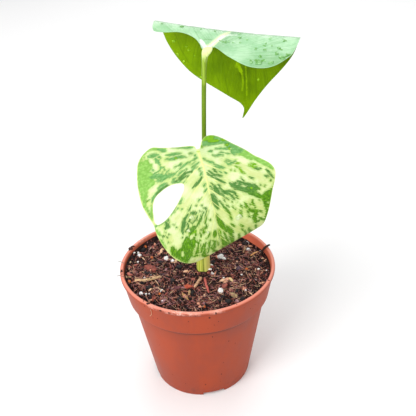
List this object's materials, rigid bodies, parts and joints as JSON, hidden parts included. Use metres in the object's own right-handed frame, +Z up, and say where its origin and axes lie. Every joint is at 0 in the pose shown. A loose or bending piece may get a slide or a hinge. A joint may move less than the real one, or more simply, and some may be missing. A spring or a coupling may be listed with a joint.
{
  "type": "potted variegated monstera",
  "caption": "Young split-leaf house plant with marbled green and cream leaves, standing in a round plastic nursery pot of potting mix.",
  "frame": {"origin": "on the pot's axis, on the plane that the pot stands on, at the centre of its underside", "axes": "+Z up along the pot's axis; -Y is the front, which the lower leaf faces; +X is to the right seen from the front"},
  "size_m": [0.1349, 0.12, 0.2811],
  "materials": {
    "pot_plastic": "terracotta-coloured moulded plastic, satin, with specks of soil and a chalky bloom on the lip",
    "potting_mix": "damp dark brown peat and fibre, crumbly and matt",
    "stalk": "smooth living green stalk, slightly waxy",
    "sheath": "pale yellow-green living sheath with fine lengthwise lines",
    "upper_leaf": "living leaf, pale minty and glossy above, saturated yellow-green below",
    "marbled_leaf": "living leaf, cream marbled with streaks of green along the veins, satin gloss",
    "perlite": "expanded white mineral grain, rough and matt",
    "feed_bead": "resin-coated slow-release plant food, amber and smooth",
    "bark": "red-brown bark chip, rough and matt",
    "pale_wood": "pale straw-coloured wood splinter, fibrous and matt"
  },
  "bodies": {
    "root": {"pot": "pot_plastic", "potting_mix": "potting_mix", "stem": "stalk", "sheath": "sheath", "upper_petiole": "stalk", "lower_petiole": "stalk", "upper_blade": "upper_leaf", "lower_blade": "marbled_leaf", "perlite_1": "perlite", "perlite_2": "perlite", "perlite_3": "perlite", "perlite_4": "perlite", "perlite_5": "perlite", "perlite_6": "perlite", "perlite_7": "perlite", "perlite_8": "perlite", "perlite_9": "perlite", "perlite_10": "perlite", "perlite_11": "perlite", "perlite_12": "perlite", "perlite_13": "perlite", "perlite_14": "perlite", "perlite_15": "perlite", "feed_bead_1": "feed_bead", "feed_bead_2": "feed_bead", "feed_bead_3": "feed_bead", "feed_bead_4": "feed_bead", "feed_bead_5": "feed_bead", "feed_bead_6": "feed_bead", "bark_chip_1": "bark", "bark_chip_2": "bark", "bark_chip_3": "bark", "bark_chip_4": "bark", "bark_chip_5": "bark", "bark_chip_6": "bark", "wood_chip_1": "pale_wood", "wood_chip_2": "pale_wood", "wood_chip_3": "pale_wood", "tan_stick": "pale_wood", "red_stick": "bark", "gold_splinter": "pale_wood", "straw_bent": "pale_wood", "straw_clump": "pale_wood", "straw_thin": "pale_wood", "pale_splinter": "pale_wood", "coir_fibre": "pale_wood", "dark_twig": "bark"}
  },
  "joints": []
}
